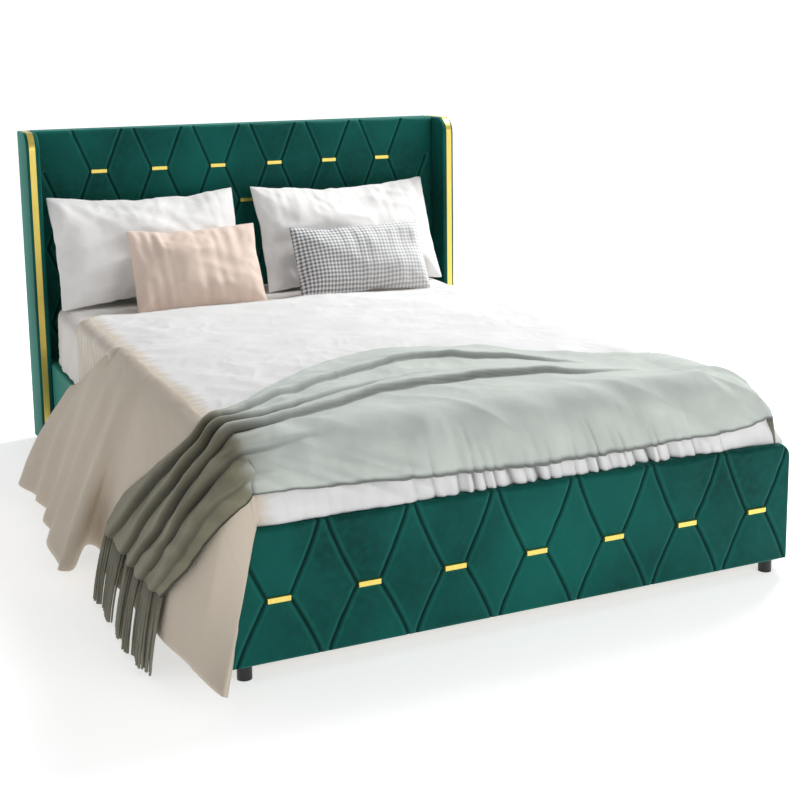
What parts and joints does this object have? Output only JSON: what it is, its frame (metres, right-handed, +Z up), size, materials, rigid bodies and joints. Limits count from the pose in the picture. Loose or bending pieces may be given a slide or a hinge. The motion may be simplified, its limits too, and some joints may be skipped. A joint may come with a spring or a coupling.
{
  "type": "upholstered headboard bed",
  "caption": "Double bed with a winged, hexagon-tufted velvet headboard and matching footboard, gold trim, slatted base and full bedding.",
  "frame": {"origin": "on the floor, at the middle of the bed frame, at the bottom of the middle leg's foot", "axes": "+Z up, +Y from the footboard towards the headboard, +X to the right when looking along +Y"},
  "size_m": [1.7551, 2.133, 1.0165],
  "materials": {
    "velvet": "velvet",
    "gold": "brushed",
    "dust_cover": "non-woven",
    "black_plastic": "matte",
    "steel": "powder coat",
    "zinc_bolt": "zinc plated",
    "webbing": "woven",
    "slat_wood": "raw, sanded",
    "frame_wood": "raw plywood",
    "mattress_fabric": "quilted knit",
    "sheet_fabric": "plain weave",
    "duvet_fabric": "plain weave, taupe on the underside",
    "throw_fabric": "soft knit",
    "fringe_yarn": "yarn",
    "pillow_fabric": "plain weave",
    "beige_fabric": "plain weave",
    "gingham_fabric": "fine check"
  },
  "bodies": {
    "frame": {"beam_hanger_foot": "steel", "beam_hanger_head": "steel", "centre_beam": "frame_wood", "centre_leg_front": "frame_wood", "centre_leg_middle": "frame_wood", "centre_leg_rear": "frame_wood", "corner_bracket_foot_left": "steel", "corner_bracket_foot_right": "steel", "corner_bracket_head_left": "steel", "corner_bracket_head_right": "steel", "footboard_bars": "gold", "footboard_board": "frame_wood", "footboard_dust_cover": "dust_cover", "footboard_pad": "velvet", "frame_bolts": "zinc_bolt", "headboard_bars_row_1": "gold", "headboard_bars_row_2": "gold", "headboard_bars_row_3": "gold", "headboard_bars_row_4": "gold", "headboard_core": "frame_wood", "headboard_dust_cover": "dust_cover", "headboard_glides": "black_plastic", "headboard_pad": "velvet", "rail_board_left": "frame_wood", "rail_board_right": "frame_wood", "rail_cover_left": "velvet", "rail_cover_right": "velvet", "slat_01": "slat_wood", "slat_02": "slat_wood", "slat_03": "slat_wood", "slat_04": "slat_wood", "slat_05": "slat_wood", "slat_06": "slat_wood", "slat_07": "slat_wood", "slat_08": "slat_wood", "slat_09": "slat_wood", "slat_10": "slat_wood", "slat_11": "slat_wood", "slat_12": "slat_wood", "slat_ledge_left": "frame_wood", "slat_ledge_right": "frame_wood", "slat_straps": "webbing", "wing_left": "velvet", "wing_right": "velvet", "wing_strip_left": "gold", "wing_strip_right": "gold"},
    "mattress": {"mattress": "mattress_fabric", "fitted_sheet": "sheet_fabric"},
    "duvet": {"duvet": "duvet_fabric"},
    "throw": {"throw": "throw_fabric", "throw_fringe": "fringe_yarn"},
    "pillow_left": {"pillow_left": "pillow_fabric"},
    "pillow_right": {"pillow_right": "pillow_fabric"},
    "cushion_beige": {"cushion_beige": "beige_fabric"},
    "cushion_grey": {"cushion_grey": "gingham_fabric"},
    "foot_front_left": {"foot_front_left": "black_plastic"},
    "foot_front_right": {"foot_front_right": "black_plastic"},
    "centre_foot_front": {"centre_foot_front": "black_plastic"},
    "centre_foot_middle": {"centre_foot_middle": "black_plastic"},
    "centre_foot_rear": {"centre_foot_rear": "black_plastic"}
  },
  "joints": [
    {"name": "mattress_lift", "type": "slide", "parent": "frame", "child": "mattress", "axis": [0, 0, 1], "range_m": [0, 0.35]},
    {"name": "duvet_lift", "type": "slide", "parent": "mattress", "child": "duvet", "axis": [0, 0, 1], "range_m": [0, 0.3]},
    {"name": "throw_lift", "type": "slide", "parent": "duvet", "child": "throw", "axis": [0, 0, 1], "range_m": [0, 0.25]},
    {"name": "pillow_left_lift", "type": "slide", "parent": "mattress", "child": "pillow_left", "axis": [0, 0, 1], "range_m": [0, 0.35]},
    {"name": "pillow_right_lift", "type": "slide", "parent": "mattress", "child": "pillow_right", "axis": [0, 0, 1], "range_m": [0, 0.35]},
    {"name": "cushion_beige_lift", "type": "slide", "parent": "pillow_left", "child": "cushion_beige", "axis": [0, 0, 1], "range_m": [0, 0.3]},
    {"name": "cushion_grey_lift", "type": "slide", "parent": "pillow_right", "child": "cushion_grey", "axis": [0, 0, 1], "range_m": [0, 0.3]},
    {"name": "foot_front_left_turn", "type": "hinge", "parent": "frame", "child": "foot_front_left", "pos_m": [-0.665, -0.98, 0], "axis": [0, 0, 1], "continuous": true},
    {"name": "foot_front_right_turn", "type": "hinge", "parent": "frame", "child": "foot_front_right", "pos_m": [0.665, -0.98, 0], "axis": [0, 0, 1], "continuous": true},
    {"name": "centre_foot_front_turn", "type": "hinge", "parent": "frame", "child": "centre_foot_front", "pos_m": [0, -0.6, 0], "axis": [0, 0, 1], "continuous": true},
    {"name": "centre_foot_middle_turn", "type": "hinge", "parent": "frame", "child": "centre_foot_middle", "pos_m": [0, 0, 0], "axis": [0, 0, 1], "continuous": true},
    {"name": "centre_foot_rear_turn", "type": "hinge", "parent": "frame", "child": "centre_foot_rear", "pos_m": [0, 0.6, 0], "axis": [0, 0, 1], "continuous": true}
  ]
}
